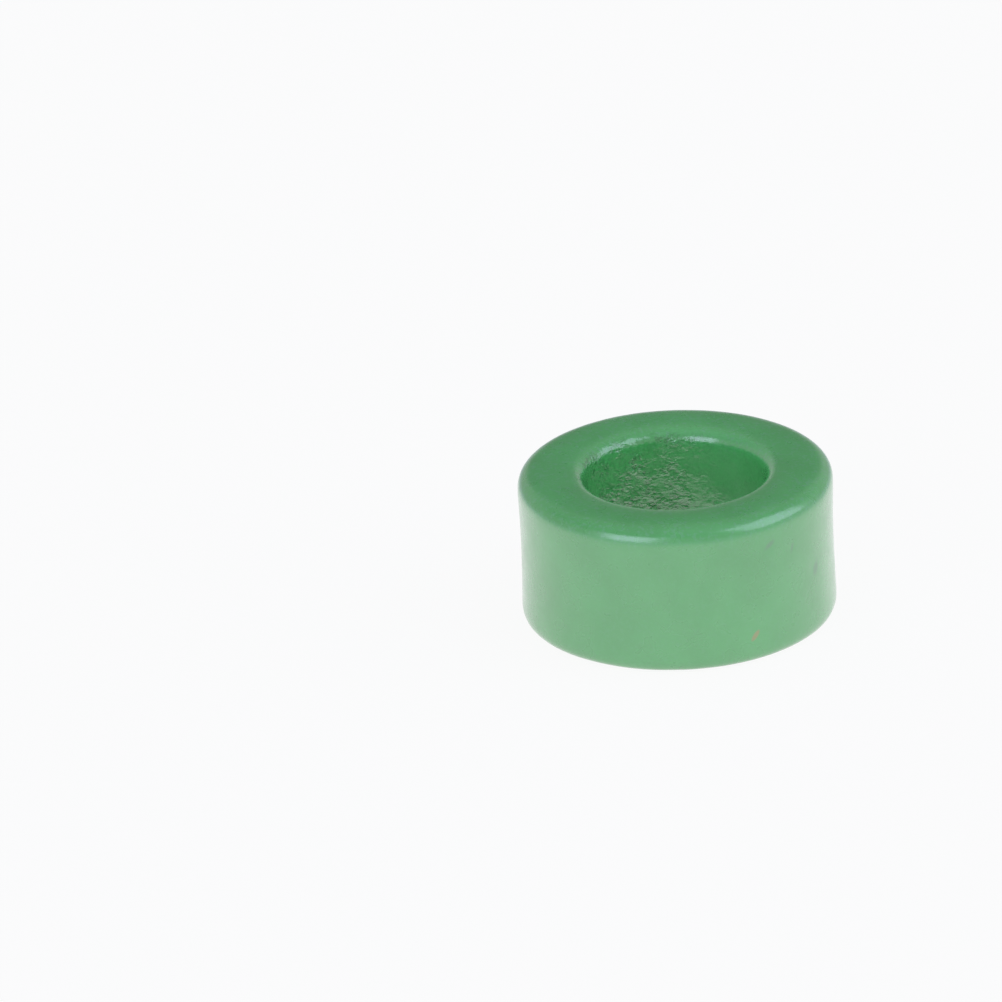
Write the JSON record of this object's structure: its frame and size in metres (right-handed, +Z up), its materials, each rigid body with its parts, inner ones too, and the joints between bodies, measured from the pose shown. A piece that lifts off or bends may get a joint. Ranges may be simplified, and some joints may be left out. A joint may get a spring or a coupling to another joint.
{
  "type": "toroidal ferrite core",
  "caption": "Ring-shaped ferrite core for an inductor or transformer winding, with rounded edges and a green insulating coat over the whole surface.",
  "frame": {"origin": "centre of the bottom face, on the plane that the core rests on", "axes": "+Z up along the axis of the ring and its hole; X and Y are alike"},
  "size_m": [0.0102, 0.0102, 0.005],
  "materials": {
    "green_coat": "satin"
  },
  "bodies": {
    "root": {"toroid_core": "green_coat"}
  },
  "joints": []
}
